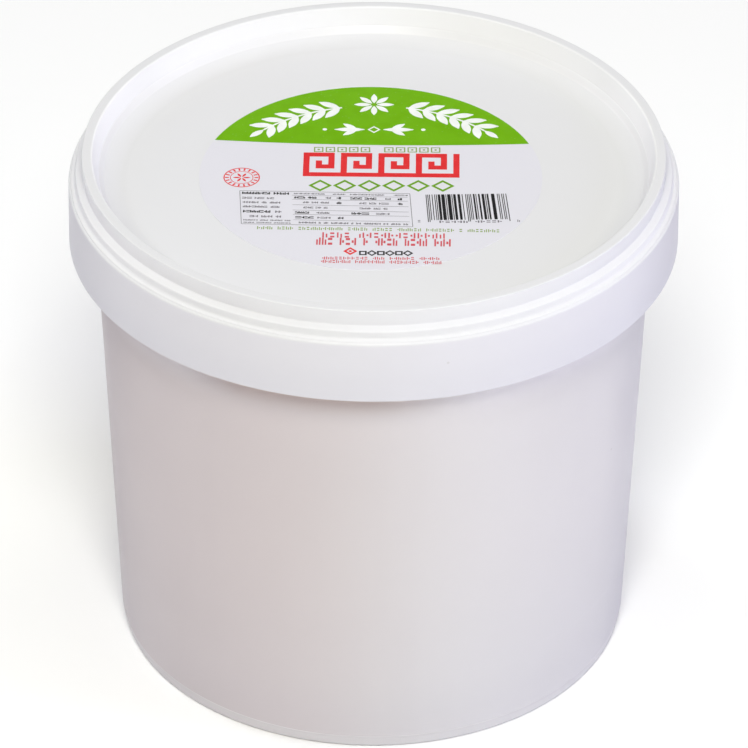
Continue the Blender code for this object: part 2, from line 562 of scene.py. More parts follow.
for side in (-1, 1):
    stem = arched_stem(side * ARCH_START_ANGLE, side * ARCH_END_ANGLE)
    stamped.setdefault("white", []).append(stem)
    for pair in range(LEAF_PAIRS):
        share = (pair + FIRST_PAIR_AT) / LEAF_PAIRS
        x, y, outward = arch_place(
            side * (ARCH_START_ANGLE + share * (ARCH_END_ANGLE - ARCH_START_ANGLE)))
        for lean in (-1, 1):
            leaf_at(x, y, outward + lean * LEAF_LEAN, LEAF_LENGTH, LEAF_WIDTH,
                    1 + 2 * (pair % 2) + (lean > 0))
    leaf_at(*arch_place(side * ARCH_END_ANGLE), LEAF_LENGTH * TIP_LEAF, LEAF_WIDTH * TIP_LEAF, 1)
    for layer, (from_middle, angle, length, width) in enumerate(SPRIG_LEAVES, start=1):
        leaf_at(side * from_middle, SPRIG_Y, 90 - side * angle, length, width, layer)
    put_stamp(dot, "white", side * SPRIG_DOT_X, SPRIG_Y, SPRIG_DOT, SPRIG_DOT, 0, SECOND_INK_Z)

for petal in range(ROSETTE_PETALS):
    turn = 360 / ROSETTE_PETALS * petal
    leaf_at(*on_circle(0, ROSETTE_Y, PETAL_FROM_MIDDLE, math.radians(turn)), turn, PETAL_LENGTH,
            PETAL_WIDTH, 1 + petal % 2)
put_stamp(lozenge, "white", 0, SPRIG_Y, SPRIG_LOZENGE, SPRIG_LOZENGE, 0, SECOND_INK_Z)
print("white stamps:", len(stamped["white"]))

# %% [markdown]
# ### The frames, the red key band and the green lozenges
#
# Under the green field the label shows an olive row, one bold red row and one green row. The olive
# row is a border of small frames, the green one a border of lozenges. The red row is a running
# key, an old border pattern. It is drawn on a grid of cells, as on squared paper: the grid is
# added with one face for each cell, and the faces that carry no ink are deleted.

# %% Running key, lozenges and frames
KEY_HOOK = (
    "#####.",
    "#...#.",
    "#.#.#.",
    "#.###.",
    "#.....",
    "######",
)
KEY_HOOKS = 4
KEY_LEFT = -24.9
KEY_RIGHT = 30.2
KEY_BOTTOM = -0.5
KEY_TOP = 15.2
KEY_TURN = -0.6
LOZENGES = 6
LOZENGE_LEFT = -23.1
LOZENGE_RIGHT = 28.5
LOZENGE_Y = -6.3
LOZENGE_HEIGHT = 7.6
LOZENGE_SHARE = 0.96
SQUARES_LEFT = -21.6
SQUARES_RIGHT = 23.9
SQUARES_Y = 17.5
SQUARES_IN_ROW = 11
SQUARE_SIZE = 4.7
SQUARE_DOT = 0.9


def key_band_piece():
    columns = KEY_HOOKS * len(KEY_HOOK[0]) + 1
    rows = len(KEY_HOOK)

    def is_bare(face):
        centre = face.calc_center_median()
        column = int((centre.x + 0.5) * columns)
        row = int((0.5 - centre.y) * rows)
        return KEY_HOOK[row][column % len(KEY_HOOK[0])] != "#"

    clear_selection()
    bpy.ops.mesh.primitive_grid_add(x_subdivisions=columns, y_subdivisions=rows, size=1)
    band = bpy.context.object
    into_edit_mode(band, "FACE")
    pick(band, "faces", is_bare)
    bpy.ops.mesh.delete(type="FACE")
    thicken(band)
    return band


key_band = key_band_piece()
put_stamp(key_band, "red", (KEY_LEFT + KEY_RIGHT) / 2, (KEY_BOTTOM + KEY_TOP) / 2,
          KEY_RIGHT - KEY_LEFT, KEY_TOP - KEY_BOTTOM, KEY_TURN)
lozenge_pitch = (LOZENGE_RIGHT - LOZENGE_LEFT) / LOZENGES
for place in range(LOZENGES):
    put_stamp(lozenge, "leaf_green", LOZENGE_LEFT + (place + 0.5) * lozenge_pitch, LOZENGE_Y,
              lozenge_pitch * LOZENGE_SHARE, LOZENGE_HEIGHT)
square_pitch = (SQUARES_RIGHT - SQUARES_LEFT) / SQUARES_IN_ROW
for place in range(SQUARES_IN_ROW):
    if place != SQUARES_IN_ROW // 2:
        x = SQUARES_LEFT + (place + 0.5) * square_pitch
        put_stamp(thin_frame, "olive", x, SQUARES_Y, SQUARE_SIZE, SQUARE_SIZE, 45)
        put_stamp(dot, "olive", x, SQUARES_Y, SQUARE_DOT, SQUARE_DOT)
stamps.append(key_band)
print("key band:", len(key_band.data.polygons), "faces")

# %% [markdown]
# ### Rows of small print
#
# Small print reads as rows of fine strokes. Each row has two measured ends and gaps where a word
# would stop. In the place of each letter stand two thin strokes, in one of a few kinds that spell
# nothing. The kinds come from a seeded draw, so the rows look set and come out the same each time.
# One bolder row stands among them: a dotted lozenge, then thick frames and lozenges in turn.

# %% Rows of strokes between two measured ends
draw = random.Random(7)
CREST_X = -8.0
CREST_Y = -48.6
CREST_SIZE = 4.9
CREST_DOT = 1.1
THICK_COUNT = 6
THICK_LEFT = -5.2
THICK_PITCH = 3.1
THICK_Y = -49.75
THICK_SIZE = 3.7

# Each kind has strokes as (place across, place up, width, height), in shares of its own place
STROKE_KINDS = (
    ((-0.25, 0.0, 0.27, 1.0), (0.22, -0.13, 0.27, 0.74)),
    ((-0.22, -0.13, 0.27, 0.74), (0.25, 0.0, 0.27, 1.0)),
    ((-0.24, 0.0, 0.29, 1.0), (0.19, 0.0, 0.34, 0.34)),
    ((-0.19, 0.0, 0.34, 0.34), (0.24, 0.0, 0.29, 1.0)),
    ((0.0, 0.33, 0.72, 0.30), (0.0, -0.33, 0.72, 0.30)),
)

# Rows as (ink, left end, right end, height of the strokes, places in each word, boldness)
SMALL_PRINT = (
    ("olive", (-40.6, -33.9), (43.8, -35.3), 1.9, (4, 4, 11, 5, 5, 6, 7, 1, 8), 0.85),
    ("rose", (-18.1, -38.3), (25.0, -38.7), 3.3, (4, 12), 0.8),
    ("rose", (-20.1, -42.3), (26.9, -43.1), 4.6, (3, 3, 1, 4, 4, 3), 1.0),
    ("rose", (-17.9, -53.0), (22.9, -53.1), 1.7, (11, 3, 6, 5), 0.9),
    ("rose", (-18.2, -55.1), (23.5, -55.6), 1.9, (8, 8, 8, 5), 0.9),
)


def stroke_row(ink, start, end, height, words, bold=1.0):
    """Words are counts of letter places. Start and end are in millimetres, at the row's middle."""
    start_x, start_y = start
    end_x, end_y = end
    spaces = sum(words) + len(words) - 1
    pitch = (end_x - start_x) / spaces
    slope = (end_y - start_y) / (end_x - start_x)
    turn = math.degrees(math.atan(slope))
    place = 0.5
    for count in words:
        for _ in range(count):
            for across, up, width, tall in draw.choice(STROKE_KINDS):
                x = start_x + (place + across) * pitch
                y = start_y + slope * (x - start_x) + up * height
                put_stamp(bar, ink, x, y, width * pitch * bold, tall * height, turn)
            place += 1
        place += 1


for row in SMALL_PRINT:
    stroke_row(*row)
for place in range(THICK_COUNT):
    turn = 45 * ((place + 1) % 2)
    put_stamp(thick_frame, "black", THICK_LEFT + (place + 0.5) * THICK_PITCH, THICK_Y,
              THICK_SIZE, THICK_SIZE, turn)
put_stamp(thick_frame, "red", CREST_X, CREST_Y, CREST_SIZE, CREST_SIZE)
put_stamp(dot, "red", CREST_X, CREST_Y, CREST_DOT, CREST_DOT)
print("stamps so far:", {ink: len(copies) for ink, copies in stamped.items()})

# %% [markdown]
# ### The ruled table
#
# Left of the middle a ruled table holds small grey and black entries. It sits a little askew,
# because the sticker follows a panel that isn't quite flat. It is laid out between its own measured
# corners, so that its tilt comes along, and places in it are shares of its width and height.

# %% Table
TABLE_TOP_LEFT = (-46.9, -9.9)
TABLE_TOP_RIGHT = (12.6, -11.4)
TABLE_BOTTOM_LEFT = (-45.9, -31.4)
RULE_WIDTH = 0.22
THIN_RULE_WIDTH = 0.16
THIN_RULES_DOWN = (0.115, 0.235, 0.40, 0.56, 0.69, 0.855)
THIN_RULE_END = 0.985
COLUMN_EDGES = (0.0, 0.305, 0.635, 1.0)
MARGIN = 0.012
ENTRY_BOLD = {"black": 1.4, "grey": 1.45}

# Entries as (left, right, down, places in each word, ink, height of the strokes)
FIRST_COLUMN = [
    (MARGIN, 0.29, 0.065, (9, 5), "black", 1.5),
    (MARGIN, 0.20, 0.215, (4, 4, 3), "grey", 1.2),
    (MARGIN, 0.235, 0.345, (6, 2, 4), "grey", 1.2),
    (MARGIN, 0.23, 0.475, (8, 3), "grey", 1.2),
    (MARGIN, 0.175, 0.62, (8,), "black", 1.5),
    (0.20, 0.24, 0.62, (2,), "grey", 1.4),
    (0.05, 0.235, 0.765, (3, 4, 2), "grey", 1.3),
    (MARGIN, 0.29, 0.88, (7, 4, 6, 3), "grey", 0.8),
    (MARGIN, 0.29, 0.955, (5, 7, 8), "grey", 0.7),
]
LAST_ENTRIES = [
    (COLUMN_EDGES[1] + MARGIN, 0.425, 0.775, (6,), "black", 1.35),
    (0.445, 0.525, 0.775, (4,), "grey", 1.1),
    (0.565, 0.60, 0.775, (2,), "black", 1.35),
    (COLUMN_EDGES[1] + 0.03, 0.975, 0.93, (7, 1, 2, 7, 1, 2, 7, 2, 4, 2), "grey", 1.1),
]


def wide_column(column):
    """Entries of the second or third column, laid out from its own left and right."""
    left = COLUMN_EDGES[column] + MARGIN
    right = COLUMN_EDGES[column + 1] - MARGIN
    near = left + 0.6 * (right - left)
    far = right - 0.19 * (right - left)
    return [
        (left, near, 0.058, (13,), "grey", 0.8),
        (far - 0.02, right, 0.058, (4,), "grey", 0.8),
        (left, near - 0.05, 0.175, (5, 3 + column), "black", 1.35),
        (near, near + 0.035, 0.175, (2,), "grey", 1.1),
        (far, far + 0.03, 0.175, (1,), "black", 1.35),
        (left + 0.05, near + 0.02, 0.32, (3, 3, 4), "grey", 1.15),
        (far, far + 0.03, 0.32, (2,), "black", 1.35),
        (left + 0.05, near + 0.01, 0.475, (5, 3, 2), "grey", 1.15),
        (left, near - 0.1, 0.63, (7,), "black", 1.35),
        (near - 0.06, near + 0.02, 0.63, (4,), "grey", 1.1),
    ]


def between(start, end, share):
    return start[0] + share * (end[0] - start[0]), start[1] + share * (end[1] - start[1])


def table_point(across, down):
    """A place in the table, from 0, 0 at its top left corner to 1, 1 at its bottom right."""
    x, y = between(TABLE_TOP_LEFT, TABLE_TOP_RIGHT, across)
    return (x + down * (TABLE_BOTTOM_LEFT[0] - TABLE_TOP_LEFT[0]),
            y + down * (TABLE_BOTTOM_LEFT[1] - TABLE_TOP_LEFT[1]))


def rule(start, end, ink="grey", width=RULE_WIDTH, layer=0):
    (x0, y0), (x1, y1) = start, end
    put_stamp(bar, ink, (x0 + x1) / 2, (y0 + y1) / 2, math.hypot(x1 - x0, y1 - y0), width,
              math.degrees(math.atan2(y1 - y0, x1 - x0)), FIRST_INK_Z + layer * OVERLAP_LIFT)


for down in (0.0, 1.0):
    rule(table_point(0, down), table_point(1, down))
for across in (0.0, 1.0):
    rule(table_point(across, 0), table_point(across, 1), layer=1)
for down in THIN_RULES_DOWN:
    rule(table_point(COLUMN_EDGES[1], down), table_point(THIN_RULE_END, down),
         width=THIN_RULE_WIDTH, layer=2)
for left, right, down, words, ink, height in (
        FIRST_COLUMN + wide_column(1) + wide_column(2) + LAST_ENTRIES):
    stroke_row(ink, table_point(left, down), table_point(right, down), height, words,
               ENTRY_BOLD[ink])
print("table entries:", len(stamped["grey"]), "grey and", len(stamped["black"]), "black")

# %% [markdown]
# ### The striped block and the round mark
#
# The striped block is a row of bars with widths drawn from a seed, one to four units each, so it
# stands for no real code. The first, middle and last bars reach lower, and a few strokes lie below.
# The round mark at the far left is two rings with short bars between them and a small rosette.

# %% Striped block
STRIPES_TOP_LEFT = (18.1, -12.0)
STRIPES_TOP_RIGHT = (46.6, -11.1)
STRIPES_FOOT_LEFT = (0.75, -16.6)
STRIPES_FOOT_RIGHT = (1.2, -16.6)
STRIPE_UNITS = 95
STRIPE_WIDTHS = (1, 1, 2, 2, 3, 4)
GAP_WIDTHS = (1, 1, 2, 2, 3)
LONG_STRIPE = 1.07
LONG_STRIPE_UNITS = {*range(3), *range(46, 50), *range(STRIPE_UNITS - 4, STRIPE_UNITS)}
UNDER_STRIPES_HEIGHT = 1.4

# Strokes under the stripes as (left end, right end, places)
UNDER_STRIPES = (
    ((22.6, -29.6), (33.0, -29.5), 5),
    ((35.0, -29.4), (44.8, -29.1), 5),
    ((15.2, -29.3), (16.4, -29.3), 1),
    ((49.8, -28.7), (51.0, -28.7), 1),
)
stripe_draw = random.Random(31)


def stripe(first_unit, units, longer):
    share = (first_unit + units / 2) / STRIPE_UNITS
    x, y = between(STRIPES_TOP_LEFT, STRIPES_TOP_RIGHT, share)
    down_x, down_y = between(STRIPES_FOOT_LEFT, STRIPES_FOOT_RIGHT, share)
    unit = (STRIPES_TOP_RIGHT[0] - STRIPES_TOP_LEFT[0]) / STRIPE_UNITS
    rule((x, y), (x + longer * down_x, y + longer * down_y), "black", units * unit)


unit_place = 0
while unit_place < STRIPE_UNITS:
    is_long = unit_place in LONG_STRIPE_UNITS
    units = 1 if is_long else stripe_draw.choice(STRIPE_WIDTHS)
    units = min(units, STRIPE_UNITS - unit_place)
    stripe(unit_place, units, LONG_STRIPE if is_long else 1.0)
    unit_place += units + (1 if is_long else stripe_draw.choice(GAP_WIDTHS))
for start, end, places in UNDER_STRIPES:
    stroke_row("grey", start, end, UNDER_STRIPES_HEIGHT, (places,))
print("stripes and strokes, black:", len(stamped["black"]))

# %% Round mark
MARK_X = -46.4
MARK_Y = -1.3
MARK_SIZE = 12.8
MARK_INNER_RING = 0.64
MARK_BARS = 18
MARK_BAR_PLACE = 0.405
MARK_BAR_SIZE = (0.6, 1.4)
MARK_PETALS = 6
MARK_PETAL_PLACE = 1.75
MARK_PETAL_SIZE = (2.7, 0.8)

for size in (MARK_SIZE, MARK_SIZE * MARK_INNER_RING):
    put_stamp(ring, "red", MARK_X, MARK_Y, size, size)
for place in range(MARK_BARS):
    turn = TURN * place / MARK_BARS
    x, y = on_circle(MARK_X, MARK_Y, MARK_BAR_PLACE * MARK_SIZE, turn)
    put_stamp(bar, "red", x, y, *MARK_BAR_SIZE, math.degrees(turn) - 90)
for petal in range(MARK_PETALS):
    turn = TURN * petal / MARK_PETALS
    x, y = on_circle(MARK_X, MARK_Y, MARK_PETAL_PLACE, turn)
    put_stamp(leaf, "red", x, y, *MARK_PETAL_SIZE, math.degrees(turn),
              FIRST_INK_Z + OVERLAP_LIFT * (petal % 3))
print("round mark is", MARK_SIZE, "mm across")

# %% [markdown]
# ### One piece for each ink
#
# The stamps of each ink are joined into one piece, and the stamps that they were copied from go
# away. The colours are listed here by ink, for the finishes below.

# %% Join the inks
INK_COLOURS = {
    "green": (0.147, 0.388, 0.003),
    "leaf_green": (0.141, 0.328, 0.010),
    "white": (0.80, 0.82, 0.80),
    "red": (0.66, 0.030, 0.034),
    "olive": (0.22, 0.33, 0.075),
    "rose": (0.56, 0.085, 0.105),
    "grey": (0.19, 0.18, 0.20),
    "black": (0.012, 0.011, 0.013),
}
prints = {ink: join_ink(ink) for ink in INK_COLOURS}
for stamp in stamps:
    bpy.data.objects.remove(stamp, do_unlink=True)
for piece in prints.values():
    print(piece.name, "has", len(piece.data.polygons), "faces")

# %% [markdown]
# ## Finishes
#
# The tub and lid are milky polyethylene: satin, faintly cloudy, with a fine skin from the mould
# and a few specks and rubbed marks. These effects are wanted in more than one finish, so each is a
# node group that is built once and placed in every finish with its own values. A group gives only
# a mask or a height, and the shader stays in the finish.

# %% Helpers for node groups
def new_group(name, output, **inputs):
    """A group of plain numbers: inputs with their defaults, and one output."""
    group = bpy.data.node_groups.new(name, "ShaderNodeTree")
    for socket_name, default in inputs.items():
        socket = group.interface.new_socket(
            socket_name, in_out="INPUT", socket_type="NodeSocketFloat")
        socket.default_value = default
    group.interface.new_socket(output, in_out="OUTPUT", socket_type="NodeSocketFloat")
    return group, group.nodes.new("NodeGroupInput"), group.nodes.new("NodeGroupOutput")


def feed(tree, socket, value):
    """Set a number on a socket, or link another node's output to it."""
    if isinstance(value, (int, float)):
        socket.default_value = value
    else:
        tree.links.new(value, socket)


def math_node(tree, operation, *values):
    node = tree.nodes.new("ShaderNodeMath")
    node.operation = operation
    for socket, value in zip(node.inputs, values):
        feed(tree, socket, value)
    return node.outputs[0]


def product(tree, first, second):
    return math_node(tree, "MULTIPLY", first, second)


def soft_step(tree, value, start, end):
    """From 0 to 1 as the value goes from start to end, with soft ends."""
    node = tree.nodes.new("ShaderNodeMapRange")
    node.interpolation_type = "SMOOTHSTEP"
    for socket_name, given in (("Value", value), ("From Min", start), ("From Max", end)):
        feed(tree, node.inputs[socket_name], given)
    return node.outputs["Result"]


def object_coordinates(tree, stretch=(1, 1, 1)):
    coordinates = tree.nodes.new("ShaderNodeTexCoord")
    mapping = tree.nodes.new("ShaderNodeMapping")
    mapping.inputs["Scale"].default_value = stretch
    tree.links.new(coordinates.outputs["Object"], mapping.inputs["Vector"])
    return mapping.outputs["Vector"]


def axes(tree):
    """X, Y and Z of the piece's own coordinates."""
    split = tree.nodes.new("ShaderNodeSeparateXYZ")
    tree.links.new(object_coordinates(tree), split.inputs["Vector"])
    return split.outputs["X"], split.outputs["Y"], split.outputs["Z"]


def noise(tree, vector, scale, detail=2.0, roughness=0.5):
    node = tree.nodes.new("ShaderNodeTexNoise")
    tree.links.new(vector, node.inputs["Vector"])
    for socket_name, given in (("Scale", scale), ("Detail", detail), ("Roughness", roughness)):
        feed(tree, node.inputs[socket_name], given)
    return node.outputs["Fac"]


print("helpers for finishes ready")

# %% Clouds, mould skin, specks, rubs and bands
SKIN_WAVE_SCALE = 22.0
CELLS_WITHOUT_SPECK = 0.86
RUB_STRETCH = (0.35, 0.35, 7.0)
RUB_SOFTNESS = 0.12
RUB_PATCH_SCALE = 11.0
RUB_PATCHES = (0.45, 0.65)


def clouds_group():
    """Broad soft patches, as in milky plastic or in ink that lies a little unevenly."""
    group, inside, outside = new_group("Clouds", "Mask", Scale=14.0, Contrast=0.25)
    value = noise(group, object_coordinates(group), inside.outputs["Scale"], 3.0, 0.55)
    low = math_node(group, "SUBTRACT", 0.5, inside.outputs["Contrast"])
    high = math_node(group, "ADD", 0.5, inside.outputs["Contrast"])
    group.links.new(soft_step(group, value, low, high), outside.inputs["Mask"])
    return group


def mould_skin_group():
    """The fine uneven skin that a mould leaves, with a slow waviness under it."""
    group, inside, outside = new_group("Mould_skin", "Height", Scale=900.0, Wave=0.5)
    fine = noise(group, object_coordinates(group), inside.outputs["Scale"])
    wave = noise(group, object_coordinates(group), SKIN_WAVE_SCALE, 1.0)
    waved = product(group, wave, inside.outputs["Wave"])
    group.links.new(math_node(group, "ADD", fine, waved), outside.inputs["Height"])
    return group


def specks_group():
    """Few small dark specks, one in the odd cell of a cell pattern."""
    group, inside, outside = new_group("Specks", "Mask", Scale=120.0, Size=0.12)
    cells = group.nodes.new("ShaderNodeTexVoronoi")
    group.links.new(object_coordinates(group), cells.inputs["Vector"])
    group.links.new(inside.outputs["Scale"], cells.inputs["Scale"])
    near = math_node(group, "LESS_THAN", cells.outputs["Distance"], inside.outputs["Size"])
    split = group.nodes.new("ShaderNodeSeparateColor")
    group.links.new(cells.outputs["Color"], split.inputs["Color"])
    chosen = math_node(group, "GREATER_THAN", split.outputs["Red"], CELLS_WITHOUT_SPECK)
    group.links.new(product(group, near, chosen), outside.inputs["Mask"])
    return group


def rubs_group():
    """Faint long rubbed marks that run round the piece, as from a shelf or a hand."""
    group, inside, outside = new_group("Rubs", "Mask", Scale=30.0, Rarity=0.66)
    streaks = noise(
        group, object_coordinates(group, RUB_STRETCH), inside.outputs["Scale"], 4.0, 0.65)
    patches = noise(group, object_coordinates(group), RUB_PATCH_SCALE, 1.0)
    high = math_node(group, "ADD", inside.outputs["Rarity"], RUB_SOFTNESS)
    lines = soft_step(group, streaks, inside.outputs["Rarity"], high)
    where = soft_step(group, patches, *RUB_PATCHES)
    group.links.new(product(group, lines, where), outside.inputs["Mask"])
    return group


def band_group():
    """A band round the Z axis, between two radii and two heights, all in metres."""
    group, inside, outside = new_group(
        "Round_band", "Mask", Inner=0.0, Outer=1.0, Bottom=-1.0, Top=1.0, Softness=0.4 * MM)
    x, y, z = axes(group)
    x_squared = product(group, x, x)
    y_squared = product(group, y, y)
    radius = math_node(group, "SQRT", math_node(group, "ADD", x_squared, y_squared))
    mask = None
    for value, low, high in ((radius, "Inner", "Outer"), (z, "Bottom", "Top")):
        for limit, sign in ((inside.outputs[low], 1), (inside.outputs[high], -1)):
            distance = product(group, math_node(group, "SUBTRACT", value, limit), sign)
            below = product(group, inside.outputs["Softness"], -1.0)
            step = soft_step(group, distance, below, inside.outputs["Softness"])
            mask = step if mask is None else product(group, mask, step)
    group.links.new(mask, outside.inputs["Mask"])
    return group


clouds = clouds_group()
mould_skin = mould_skin_group()
specks = specks_group()
rubs = rubs_group()
round_band = band_group()
print("effects:", [group.name for group in (clouds, mould_skin, specks, rubs, round_band)])

# %% Helpers for whole finishes
class Finish:
    """A new material with its shader, and short ways to add to its colour."""

    def __init__(self, name, colour, shine=0.5):
        self.material = bpy.data.materials.new(name)
        self.material.use_nodes = True
        self.tree = self.material.node_tree
        self.shader = self.tree.nodes["Principled BSDF"]
        self.shader.inputs["Specular IOR Level"].default_value = shine
        self.colour = colour

    def effect(self, group, **values):
        """Place an effect with its own values, and give its mask or height."""
        node = self.tree.nodes.new("ShaderNodeGroup")
        node.node_tree = group
        for socket_name, value in values.items():
            node.inputs[socket_name].default_value = value
        return node.outputs[0]

    def tint(self, mask, colour, blend="MIX", strength=None):
        """Mix a colour in where the mask is 1, in full or at part strength."""
        if strength is not None:
            mask = product(self.tree, mask, strength)
        node = self.tree.nodes.new("ShaderNodeMix")
        node.data_type = "RGBA"
        node.blend_type = blend
        self.tree.links.new(mask, node.inputs["Factor"])
        if isinstance(self.colour, tuple):
            node.inputs["A"].default_value = (*self.colour, 1)
        else:
            self.tree.links.new(self.colour, node.inputs["A"])
        node.inputs["B"].default_value = (*colour, 1)
        self.colour = node.outputs["Result"]

    def tint_zone(self, inner, outer, bottom, top, softness, colour, strength=None):
        """Tint a band round the axis. Its limits are in metres."""
        band = self.effect(round_band, Inner=inner, Outer=outer, Bottom=bottom, Top=top,
                           Softness=softness)
        self.tint(band, colour, strength=strength)

    def close(self, roughness_mask, smooth, rough, height=None, bump=0.1, depth=0.2 * MM):
        self.tree.links.new(self.colour, self.shader.inputs["Base Color"])
        node = self.tree.nodes.new("ShaderNodeMapRange")
        node.inputs["To Min"].default_value = smooth
        node.inputs["To Max"].default_value = rough
        self.tree.links.new(roughness_mask, node.inputs["Value"])
        self.tree.links.new(node.outputs["Result"], self.shader.inputs["Roughness"])
        if height is not None:
            bumps = self.tree.nodes.new("ShaderNodeBump")
            bumps.inputs["Strength"].default_value = bump
            bumps.inputs["Distance"].default_value = depth
            self.tree.links.new(height, bumps.inputs["Height"])
            self.tree.links.new(bumps.outputs["Normal"], self.shader.inputs["Normal"])
        return self.material


def side_mask(tree, x, start, end, left_share, right_share):
    """From 0 at start to a full share at end, towards the left and towards the right."""
    left = product(tree, soft_step(tree, x, -start, -end), left_share)
    right = product(tree, soft_step(tree, x, start, end), right_share)
    return math_node(tree, "ADD", left, right)


def give_finish(piece, material):
    piece.data.materials.clear()
    piece.data.materials.append(material)


print("finish helper ready")

# %% [markdown]
# ### Tub plastic
#
# The wall is thin and milky, with soft clouds and a few upright streaks. Its tint goes from warm
# on the left to cool on the right, and the cool side is painted light, the tint of the cool light
# from the right. At the front, just under the skirt, a lighter band is painted light that lifts the
# skirt's shadow. It darkens a little towards the foot and the far sides, and the heel is paler than
# the wall, with a painted highlight along its crease.
# It could be plain white with a bump, but then it would look like paint and not like plastic.

# %% Finish of the tub
PLASTIC_SHINE = 0.25
FAR_OUT = 200 * MM
TUB_WARM = (0.610, 0.551, 0.562)
TUB_COOL_LIGHT_TINT = (0.667, 0.644, 0.662)
COOL_LIGHT_TINT_X = (-52 * MM, 46 * MM)
DRIFT_SCALE = 9.0
DRIFT = 50 * MM
FOOT_SHADE = (0.962, 0.975, 0.985)
FOOT_SHADE_Z = (95 * MM, 5 * MM)
LOW_SHADE = (0.98, 0.98, 0.985)
LOW_SHADE_Z = (30 * MM, 12 * MM)
TUB_SIDE_SHADE = (0.87, 0.87, 0.90)
TUB_SIDES = (80 * MM, 97 * MM, 0.6, 1.0)
# Painted light: a lighter band under the skirt that lifts its shadow, warm at the front middle
PAINTED_GLOW_WARM = (0.725, 0.583, 0.540)
PAINTED_GLOW_COOL = (0.97, 0.935, 0.965)
WARM_GLOW_Z = 152 * MM
WARM_GLOW_SOFTNESS = 7 * MM
COOL_GLOW_Z = 150 * MM
COOL_GLOW_SOFTNESS = 10 * MM
WARM_GLOW_LEFT_X = (-70 * MM, -44 * MM)
WARM_GLOW_RIGHT_X = (40 * MM, -4 * MM)
WARM_GLOW_Y = (0, -50 * MM)
COOL_GLOW_Y = (20 * MM, -70 * MM)
TUB_CLOUD = (0.955, 0.95, 0.945)
TUB_STREAK = (0.95, 0.945, 0.95)
STREAK_STRETCH = (1, 1, 0.08)
STREAK_SCALE = 42.0
TUB_RUB = (0.9, 0.89, 0.89)
TUB_DUST = (0.35, 0.33, 0.31)

# The heel and its crease as (inner radius, outer radius, bottom, top, softness, colour, strength)
HEEL_AND_CREASE_HIGHLIGHT_ZONES = (
    (80 * MM, FAR_OUT, -1 * MM, 4.8 * MM, 0.15 * MM, (0.66, 0.648, 0.668), 0.6),
    # The crease line is a painted highlight
    (80 * MM, FAR_OUT, 4.65 * MM, 5.2 * MM, 0.15 * MM, (0.76, 0.745, 0.762), 0.9),
)


def tub_finish():
    finish = Finish("Milky_tub_plastic", TUB_WARM, PLASTIC_SHINE)
    tree = finish.tree
    x, y, z = axes(tree)
    drift = product(tree, noise(tree, object_coordinates(tree), DRIFT_SCALE), DRIFT)
    across = math_node(tree, "ADD", x, math_node(tree, "SUBTRACT", drift, DRIFT / 2))
    # Painted light: the cool tint of the light from the right, towards the right side
    finish.tint(soft_step(tree, across, *COOL_LIGHT_TINT_X), TUB_COOL_LIGHT_TINT)
    finish.tint(soft_step(tree, z, *FOOT_SHADE_Z), FOOT_SHADE, "MULTIPLY")
    finish.tint(soft_step(tree, z, *LOW_SHADE_Z), LOW_SHADE, "MULTIPLY")
    finish.tint(side_mask(tree, x, *TUB_SIDES), TUB_SIDE_SHADE, "MULTIPLY")
    for zone in HEEL_AND_CREASE_HIGHLIGHT_ZONES:
        finish.tint_zone(*zone)
    # Painted light under the skirt at the front, warm in the middle and cool beside it
    middle = product(tree, soft_step(tree, x, *WARM_GLOW_LEFT_X),
                     soft_step(tree, x, *WARM_GLOW_RIGHT_X))
    middle = product(tree, middle, soft_step(tree, y, *WARM_GLOW_Y))
    beside = product(tree, math_node(tree, "SUBTRACT", 1.0, middle),
                     soft_step(tree, y, *COOL_GLOW_Y))
    finish.tint_zone(-FAR_OUT, FAR_OUT, WARM_GLOW_Z, FAR_OUT, WARM_GLOW_SOFTNESS, PAINTED_GLOW_WARM, middle)
    finish.tint_zone(-FAR_OUT, FAR_OUT, COOL_GLOW_Z, FAR_OUT, COOL_GLOW_SOFTNESS, PAINTED_GLOW_COOL, beside)
    cloudy = finish.effect(clouds, Scale=17.0, Contrast=0.2)
    finish.tint(cloudy, TUB_CLOUD, "MULTIPLY", 0.3)
    streaks = noise(tree, object_coordinates(tree, STREAK_STRETCH), STREAK_SCALE, 3.0)
    finish.tint(soft_step(tree, streaks, 0.5, 0.72), TUB_STREAK, "MULTIPLY", 0.18)
    finish.tint(finish.effect(rubs, Scale=26.0, Rarity=0.64), TUB_RUB, strength=0.08)
    finish.tint(finish.effect(specks, Scale=70.0, Size=0.035), TUB_DUST, strength=0.25)
    skin = finish.effect(mould_skin, Scale=700.0, Wave=2.0)
    return finish.close(cloudy, 0.38, 0.48, skin, 0.05)


give_finish(tub, tub_finish())
print("tub finish:", len(tub.data.materials[0].node_tree.nodes), "nodes")

# %% [markdown]
# ### Lid plastic
#
# The lid is whiter than the tub. Its zones differ a little: the thin inner wall of the ring glows
# with painted light, the lip has a painted highlight, the dish has painted shade, the deep skirt
# is a touch greyer, and the panel carries faint warm patches, rubbed marks and specks. The zones
# are bands round the axis, found by radius and height. A few walls get painted light towards the
# sides, and the skirt gets a little painted shade there.

# %% Finish of the lid
LID_WHITE = (0.735, 0.734, 0.752)
SKIRT_SHADE = (0.955, 0.958, 0.968)
SKIRT_SHADE_Z = (178 * MM, 162 * MM)
SIDE_SHADE = (0.87, 0.865, 0.875)
SIDE_SHADE_SIDES = (84 * MM, 106.5 * MM, 0.6, 1.0)
SIDE_SHADE_Z = (SHOULDER_Z, SHOULDER_Z - 1.5 * MM)
LID_CLOUD = (0.975, 0.968, 0.965)
LID_RUB = (0.9, 0.9, 0.9)
LID_DUST = (0.42, 0.40, 0.38)
